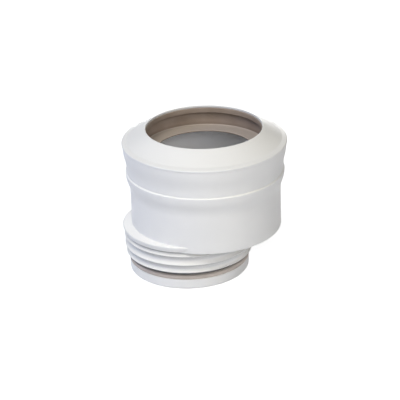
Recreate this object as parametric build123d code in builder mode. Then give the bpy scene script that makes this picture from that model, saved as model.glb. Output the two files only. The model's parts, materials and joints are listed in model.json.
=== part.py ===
"""Eccentric toilet pan connector: a white bell with a lipped pan seal, standing on an offset spigot.

Millimetres, +Z up. The origin is the centre of the spigot's end face, so the spigot's axis is Z, and the bell's
axis stands beside it in +X. Every profile is drawn as radius and height, and turned about one of those two axes.
"""

import os
from math import hypot

from build123d import *

# Layout: the bell's axis stands this far from the spigot's
eccentricity = 18.0

# Spigot: end rim, seal groove and bore
spigot_radius = 55.0
spigot_wall = 5.5
end_rounding = 2.5
bore_chamfer = 0.8
rim_height = 10.0
rim_edge_rounding = 0.8
groove_depth = 3.0
groove_width = 8.0

# Spigot: barbed rings, each a hollow flare from its edge up to the neck above it; both stand out past the end rim
barb_land = 0.7
barb_rounding = 0.3
lower_barb_stand = 2.9
lower_barb_rise = 3.0
lower_neck_stand = 0.6
lower_neck_height = 4.0
middle_barb_stand = 4.0
middle_barb_rise = 4.6
middle_neck_stand = 0.8
middle_neck_height = 3.2
upper_barb_stand = 4.2
upper_barb_rise = 3.0
upper_neck_stand = 1.8
upper_neck_height = 1.0

# Spigot: rounded ledge at its top
ledge_stand = 5.9
ledge_height = 5.4
ledge_taper = 1.9
ledge_rounding = 1.2
ledge_roof = 3.2

# Bell of the body, with how far its wall, neck and seat each stand out past the one before
bell_room = 16.0
bell_wall = 2.8
bell_floor = 3.0
bell_edge_rounding = 0.8
bell_straight = 35.3
bell_flare = 19.5
neck_stand_out = 0.7
neck_wall = 2.6
seat_width = 1.9
shoulder_bevel_width = 1.1
shoulder_bevel_height = 0.95

# Cap
cap_wall = 1.8
cap_clearance = 0.15
skirt_edge_rounding = 0.3
skirt_straight = 1.4
skirt_flare = 23.65
skirt_swell = 3.0
rim_stand = 0.6
rim_slope_height = 0.7
rim_edge_height = 1.6
cap_rim_rounding = 1.1
rim_top_width = 4.6
rim_top_rise = 1.3
lid_rise = 11.2
mouth_radius = 53.0
mouth_rounding = 0.5

# Pan seal
seal_clearance = 0.1
flange_thickness = 2.6
throat_step = 0.4
throat_height = 5.6
throat_rounding = 0.6
throat_lip_slope = 0.6
sleeve_recess = 5.2
sleeve_wall = 3.0
sleeve_root_drop = 1.8
chamber_height = 14.3
lip_length = 13.0
lip_drop = 0.7
lip_root = 2.2
lip_tip = 1.2
lip_rounding = 0.5
lip_root_rounding = 1.0

# Spigot seal
ring_clearance = 0.1
ring_height = 3.7
ring_stand = 0.2
ring_top_rounding = 1.4
ring_bottom_rounding = 1.0

# Radii that follow
bore_radius = spigot_radius - spigot_wall
groove_radius = spigot_radius - groove_depth
ledge_radius = spigot_radius + ledge_stand
bell_radius = mouth_radius + bell_room
bell_inner_radius = bell_radius - bell_wall
neck_radius = bell_radius + neck_stand_out
neck_inner_radius = neck_radius - neck_wall
seat_radius = neck_radius + seat_width
shoulder_radius = seat_radius + shoulder_bevel_width
skirt_inner_radius = neck_radius + cap_clearance
skirt_radius = skirt_inner_radius + cap_wall
skirt_top_radius = skirt_radius + skirt_swell
rim_radius = skirt_top_radius + rim_stand
lid_base_radius = rim_radius - rim_top_width
throat_radius = mouth_radius - throat_step
sleeve_inner_radius = throat_radius + sleeve_recess
sleeve_radius = sleeve_inner_radius + sleeve_wall
lip_radius = sleeve_inner_radius - lip_length

# Heights that follow, from the spigot's end upwards
BARBS = (
    (lower_barb_stand, lower_barb_rise, lower_neck_stand, lower_neck_height),
    (middle_barb_stand, middle_barb_rise, middle_neck_stand, middle_neck_height),
    (upper_barb_stand, upper_barb_rise, upper_neck_stand, upper_neck_height),
)
groove_top = rim_height + groove_width
barbs_height = sum(barb_land + rise + neck for _, rise, _, neck in BARBS)
ledge_bottom = groove_top + barbs_height
ledge_top = ledge_bottom + ledge_height
floor_top = ledge_top - ledge_roof
bell_bottom = floor_top - bell_floor
flare_bottom = bell_bottom + bell_straight
shoulder_height = flare_bottom + bell_flare
seat_height = shoulder_height + shoulder_bevel_height
skirt_flare_bottom = seat_height + skirt_straight
skirt_top = skirt_flare_bottom + skirt_flare
rim_bottom = skirt_top + rim_slope_height
rim_top = rim_bottom + rim_edge_height
lid_base = rim_top + rim_top_rise
mouth_height = lid_base + lid_rise

# The lid is a cone, so its underside lies one upright wall thickness below it
lid_run = lid_base_radius - mouth_radius
lid_slope = lid_rise / lid_run
lid_upright_wall = cap_wall * hypot(lid_rise, lid_run) / lid_run


def lid_underside(radius):
    """Height of the lid's underside at a radius about the bell's axis."""
    return mouth_height - lid_upright_wall - (radius - mouth_radius) * lid_slope


def swelling_wall(start, end):
    """Two equal arcs that leave and arrive upright, where a wall swells from one radius to another."""
    middle = (Vector(start) + Vector(end)) / 2
    first = TangentArc(start, middle, tangent=Vector(0, end[1] - start[1]))
    TangentArc(middle, end, tangent=first % 1)


def corners_at(sketch, axis, place, tolerance=0.001):
    """Corners of a sketch that lie at one place along an axis."""
    return sketch.vertices().filter_by_position(axis, place - tolerance, place + tolerance)


neck_top = lid_underside(neck_radius) - seal_clearance - flange_thickness
throat_top = lid_underside(throat_radius) - seal_clearance
throat_bottom = throat_top - throat_height
lip_height = throat_bottom + throat_lip_slope - chamber_height

spigot_plane = Plane.XZ
bell_plane = Plane.XZ.move(Location((eccentricity, 0, 0)))
bell_axis = Axis((eccentricity, 0, 0), (0, 0, 1))

os.makedirs("parts", exist_ok=True)

# Body: bell and spigot are turned about their own axes, then hollowed together
with BuildPart() as body:
    with BuildSketch(bell_plane) as bell_outside:
        with BuildLine():
            Polyline((0, neck_top), (0, bell_bottom), (bell_radius, bell_bottom), (bell_radius, flare_bottom))
            swelling_wall((bell_radius, flare_bottom), (shoulder_radius, shoulder_height))
            Polyline(
                (shoulder_radius, shoulder_height),
                (seat_radius, seat_height),
                (neck_radius, seat_height),
                (neck_radius, neck_top),
                (0, neck_top),
            )
        make_face()
        fillet(bell_outside.vertices().group_by(Axis.Y)[0].sort_by(Axis.X)[-1], bell_edge_rounding)
    revolve(axis=bell_axis)

    with BuildSketch(spigot_plane) as spigot_outside:
        with BuildLine():
            Polyline(
                (0, ledge_top),
                (0, 0),
                (spigot_radius, 0),
                (spigot_radius, rim_height),
                (groove_radius, rim_height),
                (groove_radius, groove_top),
            )
            inner_radius, height = groove_radius, groove_top
            for barb_stand, barb_rise, neck_stand, neck_height in BARBS:
                barb_radius = spigot_radius + barb_stand
                flare_start = height + barb_land
                Polyline((inner_radius, height), (barb_radius, height), (barb_radius, flare_start))
                inner_radius, flare_end = spigot_radius + neck_stand, flare_start + barb_rise
                TangentArc((inner_radius, flare_end), (barb_radius, flare_start), tangent=(0, -1))
                height = flare_end + neck_height
                Line((inner_radius, flare_end), (inner_radius, height))
            Polyline(
                (inner_radius, ledge_bottom),
                (ledge_radius - ledge_taper, ledge_bottom),
                (ledge_radius, ledge_top),
                (0, ledge_top),
            )
        make_face()
        for barb_stand, _, _, _ in BARBS:
            fillet(corners_at(spigot_outside, Axis.X, spigot_radius + barb_stand), barb_rounding)
        fillet(spigot_outside.vertices().group_by(Axis.Y)[0].sort_by(Axis.X)[-1], end_rounding)
        fillet(corners_at(spigot_outside, Axis.Y, rim_height).sort_by(Axis.X)[-1], rim_edge_rounding)
        fillet(spigot_outside.vertices().group_by(Axis.Y)[-1].sort_by(Axis.X)[-1], ledge_rounding)
    revolve(axis=Axis.Z)

    with BuildSketch(bell_plane):
        with BuildLine():
            Polyline(
                (0, floor_top),
                (bell_inner_radius, floor_top),
                (bell_inner_radius, flare_bottom),
                (neck_inner_radius, seat_height),
                (neck_inner_radius, neck_top),
                (0, neck_top),
                close=True,
            )
        make_face()
    revolve(axis=bell_axis, mode=Mode.SUBTRACT)

    with BuildSketch(Plane.XY):
        Circle(bore_radius)
    extrude(amount=floor_top, mode=Mode.SUBTRACT)
    bore_edge = body.edges().filter_by(GeomType.CIRCLE).group_by(Axis.Z)[0].sort_by(SortBy.RADIUS)[0]
    chamfer(bore_edge, bore_chamfer)

# Cap: skirt, rim and sloping lid in one turned wall
with BuildPart() as cap:
    inner_corner = (skirt_top_radius - cap_wall, lid_underside(skirt_top_radius - cap_wall))
    with BuildSketch(bell_plane) as cap_section:
        with BuildLine():
            Polyline(
                (skirt_inner_radius, skirt_flare_bottom),
                (skirt_inner_radius, seat_height),
                (skirt_radius, seat_height),
                (skirt_radius, skirt_flare_bottom),
            )
            swelling_wall((skirt_radius, skirt_flare_bottom), (skirt_top_radius, skirt_top))
            Polyline(
                (skirt_top_radius, skirt_top),
                (rim_radius, rim_bottom),
                (rim_radius, rim_top),
                (lid_base_radius, lid_base),
                (mouth_radius, mouth_height),
                (mouth_radius, mouth_height - lid_upright_wall),
                inner_corner,
            )
            swelling_wall(inner_corner, (skirt_inner_radius, skirt_flare_bottom))
        make_face()
        fillet(cap_section.vertices().group_by(Axis.Y)[0].sort_by(Axis.X)[-1], skirt_edge_rounding)
        fillet(cap_section.vertices().group_by(Axis.X)[-1].sort_by(Axis.Y)[-1], cap_rim_rounding)
        fillet(cap_section.vertices().group_by(Axis.X)[0], mouth_rounding)
    revolve(axis=bell_axis)

# Pan seal: a flange clamped on the neck, a throat lip, a sleeve and a thin lip that grips the pan's outlet
with BuildPart() as pan_seal:
    with BuildSketch(bell_plane) as seal_section:
        with BuildLine():
            Polyline(
                (neck_radius, neck_top),
                (neck_radius, neck_top + flange_thickness),
                (throat_radius, throat_top),
                (throat_radius, throat_bottom),
                (sleeve_inner_radius, throat_bottom + throat_lip_slope),
                (sleeve_inner_radius, lip_height),
                (lip_radius, lip_height - lip_drop),
                (lip_radius, lip_height - lip_drop - lip_tip),
                (sleeve_inner_radius, lip_height - lip_root),
                (sleeve_radius, lip_height - lip_root),
                (sleeve_radius, lid_underside(sleeve_radius) - seal_clearance - flange_thickness - sleeve_root_drop),
                (neck_inner_radius, neck_top),
                close=True,
            )
        make_face()
        fillet(corners_at(seal_section, Axis.X, lip_radius), lip_rounding)
        fillet(corners_at(seal_section, Axis.X, throat_radius), throat_rounding)
        fillet(corners_at(seal_section, Axis.Y, lip_height), lip_root_rounding)
    revolve(axis=bell_axis)

# Spigot seal: a ring that sits on the end rim, in the groove
with BuildPart() as spigot_seal:
    with BuildSketch(spigot_plane) as ring_section:
        with BuildLine():
            Polyline(
                (groove_radius + ring_clearance, rim_height),
                (spigot_radius + ring_stand, rim_height),
                (spigot_radius + ring_stand, rim_height + ring_height),
                (groove_radius + ring_clearance, rim_height + ring_height),
                close=True,
            )
        make_face()
        fillet(ring_section.vertices().group_by(Axis.X)[-1].sort_by(Axis.Y)[0], ring_bottom_rounding)
        fillet(ring_section.vertices().group_by(Axis.Y)[-1].sort_by(Axis.X)[-1], ring_top_rounding)
    revolve(axis=Axis.Z)

body.part.label = "body"
export_step(body.part, "parts/body.step")

cap.part.label = "cap"
export_step(cap.part, "parts/cap.step")

pan_seal.part.label = "pan_seal"
export_step(pan_seal.part, "parts/pan_seal.step")

spigot_seal.part.label = "spigot_seal"
export_step(spigot_seal.part, "parts/spigot_seal.step")
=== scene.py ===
"""Looks of an eccentric toilet pan connector: white moulded body and cap, rubber pan seal and spigot seal.

Metres, +Z up. The origin is the centre of the spigot's end face, so the spigot's axis is Z, and the bell's
axis stands beside it in +X. Every visible piece is a section turned about one of those two axes, worked
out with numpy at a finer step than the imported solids, and it stands for the solid of the same form.
"""

import json
import logging
from dataclasses import dataclass, replace
from enum import Enum
from math import cos, hypot, radians, sin

import bpy
import numpy as np
from mathutils import Matrix, Vector

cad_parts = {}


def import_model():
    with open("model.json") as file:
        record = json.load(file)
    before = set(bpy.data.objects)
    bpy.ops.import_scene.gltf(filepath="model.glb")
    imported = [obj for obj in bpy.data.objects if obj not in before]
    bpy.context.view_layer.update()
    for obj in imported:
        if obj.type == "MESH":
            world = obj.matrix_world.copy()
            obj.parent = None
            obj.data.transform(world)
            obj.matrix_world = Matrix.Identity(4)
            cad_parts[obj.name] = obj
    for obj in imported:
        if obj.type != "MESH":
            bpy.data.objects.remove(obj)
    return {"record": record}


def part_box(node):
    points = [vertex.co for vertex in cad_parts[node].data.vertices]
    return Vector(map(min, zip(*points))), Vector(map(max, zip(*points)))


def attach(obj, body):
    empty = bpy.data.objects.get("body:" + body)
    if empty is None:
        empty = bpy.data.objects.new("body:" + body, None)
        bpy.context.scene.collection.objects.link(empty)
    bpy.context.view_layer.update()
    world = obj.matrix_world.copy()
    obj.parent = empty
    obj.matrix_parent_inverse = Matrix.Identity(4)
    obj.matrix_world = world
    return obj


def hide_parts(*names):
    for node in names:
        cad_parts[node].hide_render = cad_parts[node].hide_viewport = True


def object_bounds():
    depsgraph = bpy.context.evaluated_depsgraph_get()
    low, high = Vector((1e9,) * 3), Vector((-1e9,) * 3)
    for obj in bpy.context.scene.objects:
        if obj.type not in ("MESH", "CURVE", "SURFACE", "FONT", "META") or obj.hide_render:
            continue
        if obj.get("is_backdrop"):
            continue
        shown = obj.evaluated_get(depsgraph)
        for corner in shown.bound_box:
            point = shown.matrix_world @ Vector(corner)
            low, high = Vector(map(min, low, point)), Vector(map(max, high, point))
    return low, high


LOG = logging.getLogger("pan_connector")
MM = 0.001
ROOT_BODY = "root"
INLET_MOUNT = "pan_inlet"
WHITE = (1.0, 1.0, 1.0, 1.0)


class Piece(Enum):
    """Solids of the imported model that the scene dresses."""

    BODY = "body"
    CAP = "cap"
    PAN_SEAL = "pan_seal"
    SPIGOT_SEAL = "spigot_seal"


class Slot(Enum):
    """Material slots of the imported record."""

    WHITE_PLASTIC = "white_plastic"
    SEAL_RUBBER = "seal_rubber"


class Cut(Enum):
    """Ways that two turned solids are put together."""

    JOIN = "UNION"
    HOLLOW = "DIFFERENCE"


class MaskRule(Enum):
    """Ways that two masks or values make one mask in a material."""

    MINUS = "SUBTRACT"
    TIMES = "MULTIPLY"
    LARGER = "MAXIMUM"
    BELOW = "LESS_THAN"


@dataclass(frozen=True)
class Fineness:
    """How finely a section is sampled before it is turned."""

    arc_steps: int = 6
    wall_step: float = 2.4 * MM
    swell_steps: int = 12
    flare_steps: int = 8
    segments: int = 288
    merge_distance: float = 0.002 * MM
    least_bisector: float = 1e-12
    step_slack: float = 1e-6
    crease_angle: float = radians(24.0)


FINENESS = Fineness()


def corner(radius: float, height: float, rounding: float = 0.0) -> np.ndarray:
    """One corner of a section.

    Args:
        radius: Distance from the axis.
        height: Height above the spigot's end.
        rounding: Radius of the fillet on this corner.

    Returns:
        One row of radius, height and rounding.
    """
    return np.array([[radius, height, rounding]])


def swelling_wall(start: tuple[float, float], end: tuple[float, float], steps: int) -> np.ndarray:
    """Wall that leaves one radius upright and arrives upright at another, on two equal arcs.

    With half the run w and half the rise h, each arc has radius (h*h + w*w) / 2w, and the second arc is
    the first one turned half round about the middle point.

    Args:
        start: Radius and height where the wall starts.
        end: Radius and height where it ends.
        steps: Points on each arc.

    Returns:
        Rows of radius, height and no rounding, both ends included.
    """
    origin = np.array(start)
    span = np.array(end) - origin
    run, rise = span / 2
    arc_radius = (rise**2 + run**2) / (2 * abs(run))
    turn = np.linspace(0.0, np.arcsin(abs(rise) / arc_radius), steps)
    lower = np.column_stack(
        [np.sign(run) * arc_radius * (1 - np.cos(turn)), np.sign(rise) * arc_radius * np.sin(turn)]
    )
    upper = span - lower[-2::-1]
    points = origin + np.vstack([lower, upper])
    return np.column_stack([points, np.zeros(len(points))])


def flaring_wall(edge: tuple[float, float], neck: tuple[float, float], steps: int) -> np.ndarray:
    """Hollow flare from the edge of a barbed ring to the neck above it, on one arc that ends upright.

    With the run w and the rise h between them, the arc has radius (h*h + w*w) / 2w about a centre level
    with the start of the neck, and it turns through atan2(h, radius - w).

    Args:
        edge: Radius and height of the ring's edge.
        neck: Radius and height where the neck starts.
        steps: Steps along the arc.

    Returns:
        Rows of radius, height and no rounding, from just past the edge to the neck.
    """
    run, rise = edge[0] - neck[0], neck[1] - edge[1]
    arc_radius = (rise**2 + run**2) / (2 * run)
    turn = np.linspace(np.arctan2(rise, arc_radius - run), 0.0, steps + 1)[1:]
    return np.column_stack(
        [
            neck[0] + arc_radius * (1 - np.cos(turn)),
            neck[1] - arc_radius * np.sin(turn),
            np.zeros_like(turn),
        ]
    )


def rounded(rows: np.ndarray, steps: int) -> np.ndarray:
    """Section outline with each rounded corner replaced by its fillet arc.

    Where the runs back and ahead of a corner meet at an angle of 2a, a fillet of radius R touches them
    R / tan(a) away from the corner, and its centre lies R / sin(a) along the bisector.

    Args:
        rows: Radius, height and rounding of each corner; the ends of an open section have no rounding.
        steps: Steps along each arc.

    Returns:
        Points of radius and height, without doubles.
    """
    points, radius = rows[:, :2], rows[:, 2:]
    back = np.roll(points, 1, axis=0) - points
    ahead = np.roll(points, -1, axis=0) - points
    back /= np.linalg.norm(back, axis=1, keepdims=True)
    ahead /= np.linalg.norm(ahead, axis=1, keepdims=True)
    half = np.arccos(np.clip(np.sum(back * ahead, axis=1, keepdims=True), -1.0, 1.0)) / 2
    bisector = back + ahead
    bisector /= np.maximum(np.linalg.norm(bisector, axis=1, keepdims=True), FINENESS.least_bisector)
    centre = points + bisector * radius / np.sin(half)
    first = points + back * radius / np.tan(half) - centre
    turn = (np.pi - 2 * half) * np.linspace(0.0, 1.0, steps + 1)
    arcs = (
        centre[:, None]
        + np.cos(turn)[:, :, None] * first[:, None]
        - np.sin(turn)[:, :, None] * (back * radius)[:, None]
    )
    outline = arcs.reshape(-1, 2)
    apart = np.linalg.norm(outline - np.roll(outline, 1, axis=0), axis=1) > FINENESS.merge_distance
    return outline[apart]


def divided(outline: np.ndarray, step: float, closed: bool) -> np.ndarray:
    """Outline with its long straight runs cut into equal lengths of at most one step.

    Args:
        outline: Points of radius and height.
        step: Longest run that is left.
        closed: Whether the last point runs on to the first.

    Returns:
        The points of the outline and those added between them.
    """
    starts = outline if closed else outline[:-1]
    runs = np.roll(outline, -1, axis=0)[: len(starts)] - starts
    lengths = np.linalg.norm(runs, axis=1)
    counts = np.maximum(np.ceil(lengths / step - FINENESS.step_slack), 1).astype(int)
    run = np.repeat(np.arange(len(starts)), counts)
    place = np.arange(counts.sum()) - np.repeat(np.cumsum(counts) - counts, counts)
    points = starts[run] + runs[run] * (place / counts[run])[:, None]
    return points if closed else np.vstack([points, outline[-1:]])


def turned(name: str, rows: np.ndarray, axis_x: float, closed: bool) -> bpy.types.Object:
    """Solid of a section turned about an upright axis.

    A point (r, z) of the section at turn t lies at (x + r cos t, r sin t, z). The section runs
    counter-clockwise with the radius to the right, so that the faces point outwards.

    Args:
        name: Name of the new object.
        rows: Radius, height and rounding of each corner of the section.
        axis_x: Where the axis stands along X.
        closed: Whether the section is a loop, for a ring; otherwise a flat disc closes each of its ends.

    Returns:
        The new object, linked to the scene.
    """
    outline = divided(rounded(rows, FINENESS.arc_steps), FINENESS.wall_step, closed)
    count, segments = len(outline), FINENESS.segments
    turn = np.linspace(0.0, 2 * np.pi, segments, endpoint=False)[:, None]
    radius, height = outline[None, :, 0], outline[None, :, 1]
    spots = np.stack(
        [axis_x + radius * np.cos(turn), radius * np.sin(turn), height + np.zeros_like(turn)], axis=-1
    )
    index = np.arange(segments * count).reshape(segments, count)
    beside = np.roll(index, -1, axis=0)
    above, beside_above = np.roll(index, -1, axis=1), np.roll(beside, -1, axis=1)
    last = count if closed else count - 1
    quads = np.stack([index, beside, beside_above, above], axis=-1)[:, :last].reshape(-1, 4).tolist()
    discs = [] if closed else [index[::-1, 0].tolist(), index[:, -1].tolist()]
    mesh = bpy.data.meshes.new(name)
    mesh.from_pydata(spots.reshape(-1, 3), [], quads + discs)
    piece = bpy.data.objects.new(name, mesh)
    bpy.context.scene.collection.objects.link(piece)
    return piece


def combine(base: bpy.types.Object, steps: list[tuple[Cut, bpy.types.Object]]) -> None:
    """Joins solids to a base and hollows it, and leaves one plain mesh in the base.

    Args:
        base: The object that keeps the result.
        steps: What is done in turn, and with which solid; those solids are removed.
    """
    for cut, tool in steps:
        change = base.modifiers.new(tool.name, "BOOLEAN")
        change.operation = cut.value
        change.solver = "MANIFOLD"
        change.object = tool
    depsgraph = bpy.context.evaluated_depsgraph_get()
    result = bpy.data.meshes.new_from_object(base.evaluated_get(depsgraph))
    base.modifiers.clear()
    rough = base.data
    base.data = result
    result.name = base.name
    bpy.data.meshes.remove(rough)
    for _, tool in steps:
        spare = tool.data
        bpy.data.objects.remove(tool)
        bpy.data.meshes.remove(spare)


def smooth(piece: bpy.types.Object) -> None:
    """Shades a piece smoothly, with creases kept where its faces meet at an angle.

    Args:
        piece: The finished mesh object.
    """
    piece.data.validate()
    piece.data.shade_smooth()
    piece.data.set_sharp_from_angle(angle=FINENESS.crease_angle)


def set_in_frame(piece: bpy.types.Object, node: Piece, material: bpy.types.Material) -> None:
    """Gives a piece its finish and sets it in the frame in place of its solid.

    Args:
        piece: The finished mesh object.
        node: The solid that the piece stands for.
        material: The finish.
    """
    smooth(piece)
    piece.data.materials.clear()
    piece.data.materials.append(material)
    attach(piece, ROOT_BODY)
    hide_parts(node.value)
    LOG.info("%s: %d faces", piece.name, len(piece.data.polygons))


@dataclass(frozen=True)
class Barb:
    """One barbed ring of the spigot, and the neck above it, as they stand out past the end rim."""

    stand: float
    rise: float
    neck_stand: float
    neck_height: float


@dataclass
class Spigot:
    """Barbed spigot that enters the soil pipe: end rim, seal groove, barbed rings and ledge."""

    radius: float = 55.0 * MM
    wall: float = 5.5 * MM
    end_rounding: float = 2.5 * MM
    bore_chamfer: float = 0.8 * MM
    rim_height: float = 10.0 * MM
    rim_edge_rounding: float = 0.8 * MM
    groove_depth: float = 3.0 * MM
    groove_width: float = 8.0 * MM
    barb_land: float = 0.7 * MM
    barb_rounding: float = 0.3 * MM
    barbs: tuple[Barb, ...] = (
        Barb(stand=2.9 * MM, rise=3.0 * MM, neck_stand=0.6 * MM, neck_height=4.0 * MM),
        Barb(stand=4.0 * MM, rise=4.6 * MM, neck_stand=0.8 * MM, neck_height=3.2 * MM),
        Barb(stand=4.2 * MM, rise=3.0 * MM, neck_stand=1.8 * MM, neck_height=1.0 * MM),
    )
    ledge_stand: float = 5.9 * MM
    ledge_height: float = 5.4 * MM
    ledge_taper: float = 1.9 * MM
    ledge_rounding: float = 1.2 * MM
    ledge_roof: float = 3.2 * MM
    cutter_reach: float = 4.0 * MM
    overlap: float = 0.02 * MM

    @property
    def bore_radius(self) -> float:
        """Radius of the way through the spigot."""
        return self.radius - self.wall

    @property
    def groove_top(self) -> float:
        """Height of the groove's upper wall."""
        return self.rim_height + self.groove_width

    @property
    def ledge_bottom(self) -> float:
        """Height of the ledge's underside."""
        return self.groove_top + sum(self.barb_land + barb.rise + barb.neck_height for barb in self.barbs)

    @property
    def ledge_top(self) -> float:
        """Height of the ledge's flat top."""
        return self.ledge_bottom + self.ledge_height

    @property
    def floor_top(self) -> float:
        """Height of the bell's floor, where the bore opens into it."""
        return self.ledge_top - self.ledge_roof

    def outside(self) -> np.ndarray:
        """Section of the solid spigot, from the middle of its end to the middle of its top.

        Returns:
            Rows of radius, height and rounding.
        """
        rows = [
            corner(self.bore_radius / 2, 0.0),
            corner(self.radius, 0.0, self.end_rounding),
            corner(self.radius, self.rim_height, self.rim_edge_rounding),
            corner(self.radius - self.groove_depth, self.rim_height),
            corner(self.radius - self.groove_depth, self.groove_top),
        ]
        height = self.groove_top
        for barb in self.barbs:
            edge = (self.radius + barb.stand, height + self.barb_land)
            rows.append(corner(edge[0], height, self.barb_rounding))
            rows.append(corner(*edge, self.barb_rounding))
            height += self.barb_land + barb.rise
            neck = (self.radius + barb.neck_stand, height)
            rows.append(flaring_wall(edge, neck, FINENESS.flare_steps))
            height += barb.neck_height
            rows.append(corner(neck[0], height))
        ledge_radius = self.radius + self.ledge_stand
        rows.append(corner(ledge_radius - self.ledge_taper, self.ledge_bottom))
        rows.append(corner(ledge_radius, self.ledge_top, self.ledge_rounding))
        rows.append(corner(self.bore_radius / 2, self.ledge_top))
        return np.vstack(rows)

    def bore(self) -> np.ndarray:
        """Section of the way through the spigot, with the chamfer at its end.

        Returns:
            Rows of radius, height and rounding.
        """
        return np.vstack(
            [
                corner(self.bore_radius + self.bore_chamfer + self.cutter_reach, -self.cutter_reach),
                corner(self.bore_radius, self.bore_chamfer),
                corner(self.bore_radius, self.floor_top + self.overlap),
            ]
        )


@dataclass
class Bell:
    """Wide bell beside the spigot's axis, with the shoulder and the neck that carry the cap."""

    axis_x: float
    floor_top: float
    neck_top: float
    radius: float = 69.0 * MM
    wall: float = 2.8 * MM
    floor: float = 3.0 * MM
    edge_rounding: float = 0.8 * MM
    straight: float = 35.3 * MM
    flare: float = 19.5 * MM
    neck_radius: float = 69.7 * MM
    neck_wall: float = 2.6 * MM
    seat_width: float = 1.9 * MM
    bevel_width: float = 1.1 * MM
    bevel_height: float = 0.95 * MM
    bevel_rounding: float = 0.3 * MM
    cutter_reach: float = 4.0 * MM

    @property
    def bottom(self) -> float:
        """Height of the floor's underside."""
        return self.floor_top - self.floor

    @property
    def flare_bottom(self) -> float:
        """Height where the straight wall starts to swell."""
        return self.bottom + self.straight

    @property
    def shoulder_height(self) -> float:
        """Height of the widest ring, just under the cap."""
        return self.flare_bottom + self.flare

    @property
    def seat_height(self) -> float:
        """Height of the seat that the cap stands on."""
        return self.shoulder_height + self.bevel_height

    def outside(self) -> np.ndarray:
        """Section of the solid bell, from the middle of its floor to the top of its neck.

        Returns:
            Rows of radius, height and rounding.
        """
        seat_radius = self.neck_radius + self.seat_width
        shoulder = (seat_radius + self.bevel_width, self.shoulder_height)
        flare = swelling_wall((self.radius, self.flare_bottom), shoulder, FINENESS.swell_steps)
        flare[-1, 2] = self.bevel_rounding
        return np.vstack(
            [
                corner(self.radius / 2, self.bottom),
                corner(self.radius, self.bottom, self.edge_rounding),
                flare,
                corner(seat_radius, self.seat_height, self.bevel_rounding),
                corner(self.neck_radius, self.seat_height),
                corner(self.neck_radius, self.neck_top),
            ]
        )

    def cavity(self) -> np.ndarray:
        """Section of the hollow inside the bell, from its floor to above its neck.

        Returns:
            Rows of radius, height and rounding.
        """
        inner, neck = self.radius - self.wall, self.neck_radius - self.neck_wall
        return np.vstack(
            [
                corner(inner, self.floor_top),
                corner(inner, self.flare_bottom),
                corner(neck, self.seat_height),
                corner(neck, self.neck_top + self.cutter_reach),
            ]
        )


@dataclass
class Body:
    """White moulding: the bell and the eccentric spigot, joined and hollowed together."""

    spigot: Spigot
    bell: Bell

    def build(self) -> bpy.types.Object:
        """Makes the moulding's mesh.

        Returns:
            The new object.
        """
        axis_x = self.bell.axis_x
        moulding = turned("body_moulding", self.bell.outside(), axis_x, closed=False)
        spigot = turned("spigot_solid", self.spigot.outside(), 0.0, closed=False)
        cavity = turned("bell_cavity", self.bell.cavity(), axis_x, closed=False)
        bore = turned("spigot_bore", self.spigot.bore(), 0.0, closed=False)
        combine(moulding, [(Cut.JOIN, spigot), (Cut.HOLLOW, cavity), (Cut.HOLLOW, bore)])
        return moulding

    def dress(self, piece: bpy.types.Object, material: bpy.types.Material) -> None:
        """Gives the moulding its white finish and sets it in place of the solid body."""
        set_in_frame(piece, Piece.BODY, material)


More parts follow.
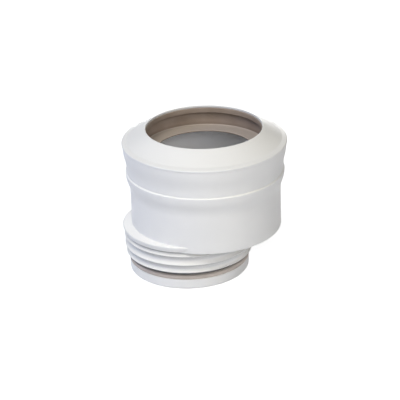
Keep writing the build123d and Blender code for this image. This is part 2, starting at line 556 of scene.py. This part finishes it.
@dataclass
class Cap:
    """White retaining cap: a flared skirt on the body's seat, a flat rim and a sloping lid with a mouth."""

    axis_x: float
    seat_height: float
    neck_radius: float
    wall: float = 1.8 * MM
    clearance: float = 0.15 * MM
    edge_rounding: float = 0.3 * MM
    straight: float = 1.4 * MM
    flare: float = 23.65 * MM
    swell: float = 3.0 * MM
    rim_stand: float = 0.6 * MM
    rim_slope_height: float = 0.7 * MM
    rim_edge_height: float = 1.6 * MM
    rim_rounding: float = 1.1 * MM
    rim_top_width: float = 4.6 * MM
    rim_top_rise: float = 1.3 * MM
    lid_rise: float = 11.2 * MM
    lid_fold_rounding: float = 0.8 * MM
    mouth_radius: float = 53.0 * MM
    mouth_rounding: float = 0.5 * MM

    @property
    def skirt_inner_radius(self) -> float:
        """Radius of the skirt's inside, round the neck."""
        return self.neck_radius + self.clearance

    @property
    def skirt_top_radius(self) -> float:
        """Radius of the skirt's outside where it has swollen to the rim."""
        return self.skirt_inner_radius + self.wall + self.swell

    @property
    def flare_bottom(self) -> float:
        """Height where the skirt starts to swell."""
        return self.seat_height + self.straight

    @property
    def skirt_top(self) -> float:
        """Height where the skirt meets the rim."""
        return self.flare_bottom + self.flare

    @property
    def rim_radius(self) -> float:
        """Radius of the rim's upright edge."""
        return self.skirt_top_radius + self.rim_stand

    @property
    def rim_bottom(self) -> float:
        """Height where the rim's upright edge starts."""
        return self.skirt_top + self.rim_slope_height

    @property
    def rim_top(self) -> float:
        """Height where the rim's upright edge ends."""
        return self.rim_bottom + self.rim_edge_height

    @property
    def lid_base(self) -> tuple[float, float]:
        """Radius and height where the rim turns up into the lid."""
        return self.rim_radius - self.rim_top_width, self.rim_top + self.rim_top_rise

    @property
    def mouth_height(self) -> float:
        """Height of the mouth's edge."""
        return self.lid_base[1] + self.lid_rise

    @property
    def lid_slope(self) -> float:
        """Rise of the lid for each unit towards the mouth."""
        return self.lid_rise / (self.lid_base[0] - self.mouth_radius)

    def lid_underside(self, radius: float) -> float:
        """Height of the lid's underside, one wall below the lid, at a radius."""
        upright_wall = self.wall * hypot(1.0, self.lid_slope)
        return self.mouth_height - upright_wall - (radius - self.mouth_radius) * self.lid_slope

    def section(self) -> np.ndarray:
        """Closed section of the cap's wall.

        Returns:
            Rows of radius, height and rounding.
        """
        inner, outer = self.skirt_inner_radius, self.skirt_inner_radius + self.wall
        inside_radius = self.skirt_top_radius - self.wall
        inside_top = (inside_radius, self.lid_underside(inside_radius))
        steps = FINENESS.swell_steps
        return np.vstack(
            [
                corner(inner, self.seat_height),
                corner(outer, self.seat_height, self.edge_rounding),
                swelling_wall((outer, self.flare_bottom), (self.skirt_top_radius, self.skirt_top), steps),
                corner(self.rim_radius, self.rim_bottom),
                corner(self.rim_radius, self.rim_top, self.rim_rounding),
                corner(*self.lid_base, self.lid_fold_rounding),
                corner(self.mouth_radius, self.mouth_height, self.mouth_rounding),
                corner(self.mouth_radius, self.lid_underside(self.mouth_radius), self.mouth_rounding),
                swelling_wall(inside_top, (inner, self.flare_bottom), steps),
            ]
        )

    def build(self) -> bpy.types.Object:
        """Turns the cap's section about the bell's axis."""
        return turned("cap_moulding", self.section(), self.axis_x, closed=True)

    def dress(self, piece: bpy.types.Object, material: bpy.types.Material) -> None:
        """Gives the cap its white finish and sets it in place of the solid cap."""
        set_in_frame(piece, Piece.CAP, material)


@dataclass
class PanSeal:
    """Rubber seal under the lid: clamped flange, throat, sleeve, and a thin lip for the pan's outlet."""

    cap: Cap
    neck_wall: float
    clearance: float = 0.1 * MM
    flange_thickness: float = 2.6 * MM
    throat_step: float = 0.4 * MM
    throat_height: float = 5.6 * MM
    throat_rounding: float = 0.6 * MM
    throat_lip_slope: float = 0.6 * MM
    sleeve_recess: float = 5.2 * MM
    sleeve_wall: float = 3.0 * MM
    sleeve_root_drop: float = 1.8 * MM
    chamber_height: float = 14.3 * MM
    lip_length: float = 13.0 * MM
    lip_drop: float = 0.7 * MM
    lip_root: float = 2.2 * MM
    lip_tip: float = 1.2 * MM
    lip_rounding: float = 0.5 * MM
    lip_root_rounding: float = 1.0 * MM

    @property
    def neck_top(self) -> float:
        """Height of the neck's top, which carries the flange."""
        return self.cap.lid_underside(self.cap.neck_radius) - self.clearance - self.flange_thickness

    def section(self) -> np.ndarray:
        """Closed section of the seal.

        Returns:
            Rows of radius, height and rounding.
        """
        cap = self.cap
        throat = cap.mouth_radius - self.throat_step
        throat_top = cap.lid_underside(throat) - self.clearance
        throat_bottom = throat_top - self.throat_height
        inside = throat + self.sleeve_recess
        outside = inside + self.sleeve_wall
        lip_height = throat_bottom + self.throat_lip_slope - self.chamber_height
        lip_radius, lip_top = inside - self.lip_length, lip_height - self.lip_drop
        flange_under = cap.lid_underside(outside) - self.clearance - self.flange_thickness
        return np.vstack(
            [
                corner(cap.neck_radius, self.neck_top),
                corner(cap.neck_radius, self.neck_top + self.flange_thickness),
                corner(throat, throat_top, self.throat_rounding),
                corner(throat, throat_bottom, self.throat_rounding),
                corner(inside, throat_bottom + self.throat_lip_slope),
                corner(inside, lip_height, self.lip_root_rounding),
                corner(lip_radius, lip_top, self.lip_rounding),
                corner(lip_radius, lip_top - self.lip_tip, self.lip_rounding),
                corner(inside, lip_height - self.lip_root),
                corner(outside, lip_height - self.lip_root),
                corner(outside, flange_under - self.sleeve_root_drop),
                corner(cap.neck_radius - self.neck_wall, self.neck_top),
            ]
        )

    def build(self) -> bpy.types.Object:
        """Turns the seal's section about the bell's axis."""
        return turned("pan_seal_rubber", self.section(), self.cap.axis_x, closed=True)

    def dress(self, piece: bpy.types.Object, material: bpy.types.Material) -> None:
        """Gives the seal its rubber finish and sets it in place of the solid seal."""
        set_in_frame(piece, Piece.PAN_SEAL, material)


@dataclass
class SpigotSeal:
    """Rubber ring in the groove near the spigot's end."""

    spigot: Spigot
    clearance: float = 0.1 * MM
    height: float = 3.7 * MM
    stand: float = 0.2 * MM
    top_rounding: float = 1.4 * MM
    bottom_rounding: float = 1.0 * MM

    def section(self) -> np.ndarray:
        """Closed section of the ring.

        Returns:
            Rows of radius, height and rounding.
        """
        inside = self.spigot.radius - self.spigot.groove_depth + self.clearance
        outside = self.spigot.radius + self.stand
        bottom = self.spigot.rim_height
        return np.vstack(
            [
                corner(inside, bottom),
                corner(outside, bottom, self.bottom_rounding),
                corner(outside, bottom + self.height, self.top_rounding),
                corner(inside, bottom + self.height),
            ]
        )

    def build(self) -> bpy.types.Object:
        """Turns the ring's section about the spigot's axis."""
        return turned("spigot_seal_rubber", self.section(), 0.0, closed=True)

    def dress(self, piece: bpy.types.Object, material: bpy.types.Material) -> None:
        """Gives the ring its rubber finish and sets it in place of the solid ring."""
        set_in_frame(piece, Piece.SPIGOT_SEAL, material)


def merged(
    tree: bpy.types.NodeTree,
    rule: MaskRule,
    first: bpy.types.NodeSocket,
    second: bpy.types.NodeSocket | float,
) -> bpy.types.NodeSocket:
    """Mask made from two masks or values, kept between 0 and 1.

    Args:
        tree: The node tree that works it out.
        rule: How the two make one.
        first: The first mask or value.
        second: The second one, or a plain number.

    Returns:
        The mask's output socket.
    """
    node = tree.nodes.new("ShaderNodeMath")
    node.operation = rule.value
    node.use_clamp = True
    tree.links.new(first, node.inputs[0])
    if isinstance(second, float):
        node.inputs[1].default_value = second
    else:
        tree.links.new(second, node.inputs[1])
    return node.outputs["Value"]


def rescaled(
    tree: bpy.types.NodeTree,
    value: bpy.types.NodeSocket,
    span: tuple[float, float],
    result: tuple[float, float] = (0.0, 1.0),
) -> bpy.types.NodeSocket:
    """Value that goes evenly from one result to another while the value read crosses a span.

    Args:
        tree: The node tree that works it out.
        value: The value that is read.
        span: The values read at which the change starts and ends.
        result: What comes out at the two ends of the span, and beyond them.

    Returns:
        The new value's output socket.
    """
    node = tree.nodes.new("ShaderNodeMapRange")
    node.inputs["From Min"].default_value, node.inputs["From Max"].default_value = span
    node.inputs["To Min"].default_value, node.inputs["To Max"].default_value = result
    tree.links.new(value, node.inputs["Value"])
    return node.outputs["Result"]


def upright_part(tree: bpy.types.NodeTree, vector: bpy.types.NodeSocket) -> bpy.types.NodeSocket:
    """Z part of a vector.

    Args:
        tree: The node tree that works it out.
        vector: The vector that is read.

    Returns:
        The part's output socket.
    """
    parts = tree.nodes.new("ShaderNodeSeparateXYZ")
    tree.links.new(vector, parts.inputs["Vector"])
    return parts.outputs["Z"]


@dataclass(frozen=True)
class MouldSkinAndPaintedLight:
    """Shader group of every finish: fine skin, flow tone, handling marks, painted crevice shade, painted
    top light.
    """

    name: str = "mould_skin_and_painted_light"
    grain_detail: float = 3.0
    tone_detail: float = 2.0
    mark_detail: float = 5.0
    crevice_samples: int = 16
    open_share: float = 0.88
    closed_share: float = 0.42
    upright: float = 0.2
    facing_up: float = 0.6
    foot_height: float = 8.0 * MM

    def group(self) -> bpy.types.NodeTree:
        """Makes the group, or finds it where it is already made.

        Inputs are the grain's, the tone's and the marks' scales, per metre, and the reach of the painted
        crevice shade and the height below which it counts, in metres. Outputs are the height of the skin,
        the tone, the marks, the painted crevice shade and the painted top light on upward faces, each from
        0 to 1.

        Returns:
            The group's node tree.
        """
        tree = bpy.data.node_groups.get(self.name)
        if tree:
            return tree
        tree = bpy.data.node_groups.new(self.name, "ShaderNodeTree")
        sockets = tree.interface
        for name in ("Grain Scale", "Tone Scale", "Mark Scale", "Crevice Reach", "Crevice Top"):
            sockets.new_socket(name, in_out="INPUT", socket_type="NodeSocketFloat")
        for name in ("Height", "Tone", "Marks", "Painted Crevice Shade", "Painted Top Light"):
            sockets.new_socket(name, in_out="OUTPUT", socket_type="NodeSocketFloat")
        inputs = tree.nodes.new("NodeGroupInput")
        outputs = tree.nodes.new("NodeGroupOutput")
        place = tree.nodes.new("ShaderNodeTexCoord")
        layers = (
            ("Grain Scale", "Height", self.grain_detail),
            ("Tone Scale", "Tone", self.tone_detail),
            ("Mark Scale", "Marks", self.mark_detail),
        )
        for name, output, detail in layers:
            noise = tree.nodes.new("ShaderNodeTexNoise")
            noise.inputs["Detail"].default_value = detail
            tree.links.new(place.outputs["Object"], noise.inputs["Vector"])
            tree.links.new(inputs.outputs[name], noise.inputs["Scale"])
            tree.links.new(noise.outputs["Fac"], outputs.inputs[output])
        upward = self.upward(tree)
        tree.links.new(upward, outputs.inputs["Painted Top Light"])
        crevices = self.crevices(tree, inputs, upward, upright_part(tree, place.outputs["Object"]))
        tree.links.new(crevices, outputs.inputs["Painted Crevice Shade"])
        return tree

    def upward(self, tree: bpy.types.NodeTree) -> bpy.types.NodeSocket:
        """Mask that rises from 0 on upright walls to 1 where the surface faces up, for the painted top
        light.

        Args:
            tree: The group's node tree.

        Returns:
            The mask's output socket.
        """
        # Faces that look up get the painted top light: a lighter, warmer colour standing in for light from
        # above.
        surface = tree.nodes.new("ShaderNodeNewGeometry")
        rise = upright_part(tree, surface.outputs["Normal"])
        return rescaled(tree, rise, (self.upright, self.facing_up))

    def crevices(
        self,
        tree: bpy.types.NodeTree,
        inputs: bpy.types.Node,
        upward: bpy.types.NodeSocket,
        height: bpy.types.NodeSocket,
    ) -> bpy.types.NodeSocket:
        """Mask of painted shade on the upright and overhung places that stand close to other walls.

        The mask grows as less of the room within reach is open. It fades out where the surface faces up
        and at the foot, which is near nothing but the floor, and it stops at the finish's own top.

        Args:
            tree: The group's node tree.
            inputs: The group's input node, with the reach and the top.
            upward: Mask of the places that face up.
            height: Height above the spigot's end.

        Returns:
            The mask's output socket.
        """
        # Painted shade: ambient occlusion darkens the colour in grooves, necks, creases and under
        # overhangs, where shade falls.
        openness = tree.nodes.new("ShaderNodeAmbientOcclusion")
        openness.samples = self.crevice_samples
        tree.links.new(inputs.outputs["Crevice Reach"], openness.inputs["Distance"])
        closed = rescaled(tree, openness.outputs["AO"], (self.open_share, self.closed_share))
        above_foot = rescaled(tree, height, (self.foot_height / 2, self.foot_height))
        below_top = merged(tree, MaskRule.BELOW, height, inputs.outputs["Crevice Top"])
        sheltered = merged(tree, MaskRule.MINUS, closed, upward)
        return merged(tree, MaskRule.TIMES, merged(tree, MaskRule.TIMES, sheltered, above_foot), below_top)


@dataclass(frozen=True)
class Finish:
    """Finish of one material: its colours, its gloss and its skin.

    The colour drifts between dark and light. It has a painted top light on faces that look up, and a
    painted shade in crevices up to crevice_top, which is above the whole part unless the finish gives its
    own.
    """

    name: str
    dark: tuple[float, float, float]
    light: tuple[float, float, float]
    # Painted colours: the shade darkens crevices where shade falls, and the next one lightens faces that
    # look up as light from above does.
    shade: tuple[float, float, float]
    painted_top_light: tuple[float, float, float]
    roughness: tuple[float, float]
    specular: float
    grain_scale: float
    tone_scale: float
    mark_scale: float
    bump_strength: float
    bump_depth: float
    crevice_reach: float
    crevice_top: float = 140.0 * MM
    noise_span: tuple[float, float] = (0.3, 0.7)

    def skin(self, tree: bpy.types.NodeTree) -> bpy.types.Node:
        """Places the shared surface group in the material, with this finish's own values.

        Args:
            tree: The material's node tree.

        Returns:
            The group's node.
        """
        skin = tree.nodes.new("ShaderNodeGroup")
        skin.node_tree = MouldSkinAndPaintedLight().group()
        skin.inputs["Grain Scale"].default_value = self.grain_scale
        skin.inputs["Tone Scale"].default_value = self.tone_scale
        skin.inputs["Mark Scale"].default_value = self.mark_scale
        skin.inputs["Crevice Reach"].default_value = self.crevice_reach
        skin.inputs["Crevice Top"].default_value = self.crevice_top
        return skin

    def colour(self, tree: bpy.types.NodeTree, skin: bpy.types.Node) -> bpy.types.NodeSocket:
        """Colour that drifts from dark to light, with painted top light facing up and painted shade in
        crevices.

        Args:
            tree: The material's node tree.
            skin: The surface group's node.

        Returns:
            The colour's output socket.
        """
        tone = tree.nodes.new("ShaderNodeValToRGB")
        for stop, place, tint in zip(tone.color_ramp.elements, self.noise_span, (self.dark, self.light)):
            stop.position = place
            stop.color = (*tint, 1.0)
        tree.links.new(skin.outputs["Tone"], tone.inputs["Fac"])
        colour = tone.outputs["Color"]
        # Painted top light on upward faces first, then painted shade in crevices, both mixed into the base
        # colour.
        for mask, tint in (("Painted Top Light", self.painted_top_light), ("Painted Crevice Shade", self.shade)):
            layer = tree.nodes.new("ShaderNodeMix")
            layer.data_type = "RGBA"
            layer.inputs["B"].default_value = (*tint, 1.0)
            tree.links.new(skin.outputs[mask], layer.inputs["Factor"])
            tree.links.new(colour, layer.inputs["A"])
            colour = layer.outputs["Result"]
        return colour

    def material(self) -> bpy.types.Material:
        """Makes the material.

        Returns:
            A material whose colour, roughness and skin vary over the surface.
        """
        material = bpy.data.materials.new(self.name)
        material.use_nodes = True
        tree = material.node_tree
        shader = tree.nodes["Principled BSDF"]
        shader.inputs["Specular IOR Level"].default_value = self.specular
        skin = self.skin(tree)
        tree.links.new(self.colour(tree, skin), shader.inputs["Base Color"])
        roughness = rescaled(tree, skin.outputs["Marks"], self.noise_span, self.roughness)
        tree.links.new(roughness, shader.inputs["Roughness"])
        bump = tree.nodes.new("ShaderNodeBump")
        bump.inputs["Strength"].default_value = self.bump_strength
        bump.inputs["Distance"].default_value = self.bump_depth
        tree.links.new(skin.outputs["Height"], bump.inputs["Height"])
        tree.links.new(bump.outputs["Normal"], shader.inputs["Normal"])
        return material


# The plastic's painted shade is kept to the spigot's barbed part, below 41 mm, and its painted top light is
# warm.
WHITE_PLASTIC = Finish(
    name="white_moulded_plastic",
    dark=(0.835, 0.835, 0.85),
    light=(0.86, 0.86, 0.875),
    shade=(0.14, 0.14, 0.145),
    painted_top_light=(0.885, 0.876, 0.858),
    roughness=(0.36, 0.46),
    specular=0.12,
    grain_scale=1400.0,
    tone_scale=38.0,
    mark_scale=55.0,
    bump_strength=0.12,
    bump_depth=0.08 * MM,
    crevice_reach=6.0 * MM,
    crevice_top=41.0 * MM,
)
SEAL_RUBBER = Finish(
    name="taupe_seal_rubber",
    dark=(0.29, 0.225, 0.18),
    light=(0.36, 0.285, 0.235),
    shade=(0.13, 0.1, 0.08),
    painted_top_light=(0.44, 0.38, 0.335),
    roughness=(0.55, 0.72),
    specular=0.3,
    grain_scale=1900.0,
    tone_scale=60.0,
    mark_scale=90.0,
    bump_strength=0.25,
    bump_depth=0.1 * MM,
    crevice_reach=6.0 * MM,
)
# Copy of the seal rubber, painted paler for the ring to stand in for the light that falls on it; the same
# rubber is darker on the pan seal. Its painted crevice shade is darker too.
LIT_RING_RUBBER = replace(
    SEAL_RUBBER,
    name="lit_copy_ring_rubber",
    dark=(0.5, 0.438, 0.405),
    light=(0.58, 0.512, 0.476),
    shade=(0.05, 0.04, 0.035),
    painted_top_light=(0.54, 0.478, 0.442),
    roughness=(0.5, 0.66),
    crevice_reach=7.0 * MM,
)


def bearing(azimuth: float, elevation: float) -> Vector:
    """Direction towards a light or camera at an azimuth, 0 in front, and an elevation, both in degrees."""
    turn, rise = radians(azimuth), radians(elevation)
    return Vector((sin(turn) * cos(rise), -cos(turn) * cos(rise), sin(rise)))


@dataclass(frozen=True)
class Softbox:
    """Square area light, placed round the object by its bearing and aimed at it."""

    name: str
    azimuth: float
    elevation: float
    watts: float
    colour: tuple[float, float, float]
    distance: float = 1.5
    size: float = 0.7

    def place(self, aim: Vector) -> None:
        """Makes the light.

        Args:
            aim: The point that it faces.
        """
        lamp = bpy.data.lights.new(self.name, "AREA")
        lamp.shape = "SQUARE"
        lamp.size = self.size
        lamp.energy = self.watts
        lamp.color = self.colour
        light = bpy.data.objects.new(self.name, lamp)
        bpy.context.scene.collection.objects.link(light)
        back = bearing(self.azimuth, self.elevation)
        light.location = aim + back * self.distance
        light.rotation_mode = "QUATERNION"
        light.rotation_quaternion = (-back).to_track_quat("-Z", "Y")


@dataclass(frozen=True)
class Viewpoint:
    """Camera at the photograph's angle.

    Its focal length and shift are in pixels of a square picture, and a pixel spans one scale at the aim.
    """

    azimuth: float = -21.71
    elevation: float = 23.76
    roll: float = -1.67
    aim_height: float = 70.0 * MM
    picture: float = 400.0
    focal: float = 1751.0
    scale: float = 0.9185 * MM
    shift: tuple[float, float] = (5.702, -9.439)
    sensor: float = 36.0

    def place(self, axis_x: float) -> None:
        """Makes the camera and gives it to the scene.

        Args:
            axis_x: Where the bell's axis, which the camera faces, stands along X.
        """
        lens = bpy.data.cameras.new("viewpoint")
        lens.sensor_width = self.sensor
        lens.lens = self.focal * self.sensor / self.picture
        lens.shift_x = -self.shift[0] / self.picture
        lens.shift_y = self.shift[1] / self.picture
        camera = bpy.data.objects.new("viewpoint", lens)
        bpy.context.scene.collection.objects.link(camera)
        back = bearing(self.azimuth, self.elevation)
        roll = Matrix.Rotation(radians(self.roll), 3, "Z").to_quaternion()
        camera.location = Vector((axis_x, 0.0, self.aim_height)) + back * (self.focal * self.scale)
        camera.rotation_mode = "QUATERNION"
        camera.rotation_quaternion = back.to_track_quat("Z", "Y") @ roll
        bpy.context.scene.camera = camera


def seen_directly(tree: bpy.types.NodeTree) -> bpy.types.NodeSocket:
    """Mask of the rays that show the set: straight from the camera, by gloss or through glass.

    Args:
        tree: The node tree that works it out.

    Returns:
        The mask's output socket.
    """
    rays = tree.nodes.new("ShaderNodeLightPath").outputs
    mask = merged(tree, MaskRule.LARGER, rays["Is Camera Ray"], rays["Is Glossy Ray"])
    return merged(tree, MaskRule.LARGER, mask, rays["Is Transmission Ray"])


@dataclass
class Studio:
    """Plain white set: a pale floor, a white surround and soft lights."""

    aim: Vector
    floor_radius: float = 1.1
    floor_segments: int = 96
    floor_drop: float = 0.05 * MM
    floor_colour: tuple[float, float, float] = (0.82, 0.82, 0.82)
    floor_lift: float = 0.75
    softboxes: tuple[Softbox, ...] = (
        Softbox("upper_left", azimuth=-52.0, elevation=60.0, watts=11.2, colour=(1.0, 0.97, 0.87)),
        Softbox("front", azimuth=-18.0, elevation=27.0, watts=5.9, colour=(0.975, 0.995, 1.0)),
        Softbox("front_right", azimuth=16.0, elevation=30.0, watts=4.2, colour=(1.0, 0.96, 0.9)),
        Softbox("left", azimuth=-95.0, elevation=36.0, watts=3.9, colour=(0.34, 0.5, 1.0)),
        Softbox("back_left", azimuth=-140.0, elevation=30.0, watts=3.4, colour=(0.94, 0.98, 1.0)),
        Softbox("back", azimuth=155.0, elevation=2.0, watts=9.0, colour=(0.98, 0.99, 1.0)),
    )

    def surround(self) -> None:
        """Makes a world that shows as white and leaves the lighting to the lamps."""
        world = bpy.data.worlds.new("white_surround")
        world.use_nodes = True
        bpy.context.scene.world = world
        tree = world.node_tree
        background = tree.nodes["Background"]
        background.inputs["Color"].default_value = WHITE
        tree.links.new(seen_directly(tree), background.inputs["Strength"])

    def floor_finish(self) -> bpy.types.Material:
        """Makes the floor's pale matt finish, lifted towards white where it is seen.

        Returns:
            The new material.
        """
        material = bpy.data.materials.new("pale_floor")
        material.use_nodes = True
        tree = material.node_tree
        shader = tree.nodes["Principled BSDF"]
        shader.inputs["Base Color"].default_value = (*self.floor_colour, 1.0)
        shader.inputs["Roughness"].default_value = 1.0
        shader.inputs["Specular IOR Level"].default_value = 0.0
        shader.inputs["Emission Color"].default_value = WHITE
        lift = merged(tree, MaskRule.TIMES, seen_directly(tree), self.floor_lift)
        tree.links.new(lift, shader.inputs["Emission Strength"])
        return material

    def floor(self) -> None:
        """Makes a round pale floor that keeps the object's shadow."""
        turn = np.linspace(0.0, 2 * np.pi, self.floor_segments, endpoint=False)
        drop = np.full_like(turn, -self.floor_drop)
        rim = np.column_stack([self.floor_radius * np.cos(turn), self.floor_radius * np.sin(turn), drop])
        mesh = bpy.data.meshes.new("floor")
        mesh.from_pydata(rim, [], [list(range(self.floor_segments))])
        mesh.materials.append(self.floor_finish())
        floor = bpy.data.objects.new("floor", mesh)
        bpy.context.scene.collection.objects.link(floor)
        floor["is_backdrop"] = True

    def build(self) -> None:
        """Makes the surround, the floor and the lights, and sets plain colour management."""
        self.surround()
        self.floor()
        for softbox in self.softboxes:
            softbox.place(self.aim)
        bpy.context.scene.view_settings.view_transform = "Standard"


def inlet_axis(record: dict) -> float:
    """Where the bell's axis stands along X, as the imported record's inlet mount gives it."""
    return next(mount["pos_m"][0] for mount in record["mounts"] if mount["name"] == INLET_MOUNT)


def main() -> None:
    """Builds and dresses every piece, sets the studio and the camera, and reports each piece."""
    logging.basicConfig(level=logging.INFO, format="%(name)s %(message)s")
    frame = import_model()
    cad_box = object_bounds()
    axis_x = inlet_axis(frame["record"])
    spigot = Spigot()
    bell = Bell(axis_x, spigot.floor_top, neck_top=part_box(Piece.BODY.value)[1].z)
    cap = Cap(axis_x, bell.seat_height, bell.neck_radius)
    plastic = WHITE_PLASTIC.material()
    body = Body(spigot, bell)
    body.dress(body.build(), plastic)
    cap.dress(cap.build(), plastic)
    for seal, finish in ((PanSeal(cap, bell.neck_wall), SEAL_RUBBER), (SpigotSeal(spigot), LIT_RING_RUBBER)):
        seal.dress(seal.build(), finish.material())
    Studio(aim=(cad_box[0] + cad_box[1]) / 2).build()
    Viewpoint().place(axis_x)


if __name__ == "__main__":
    main()
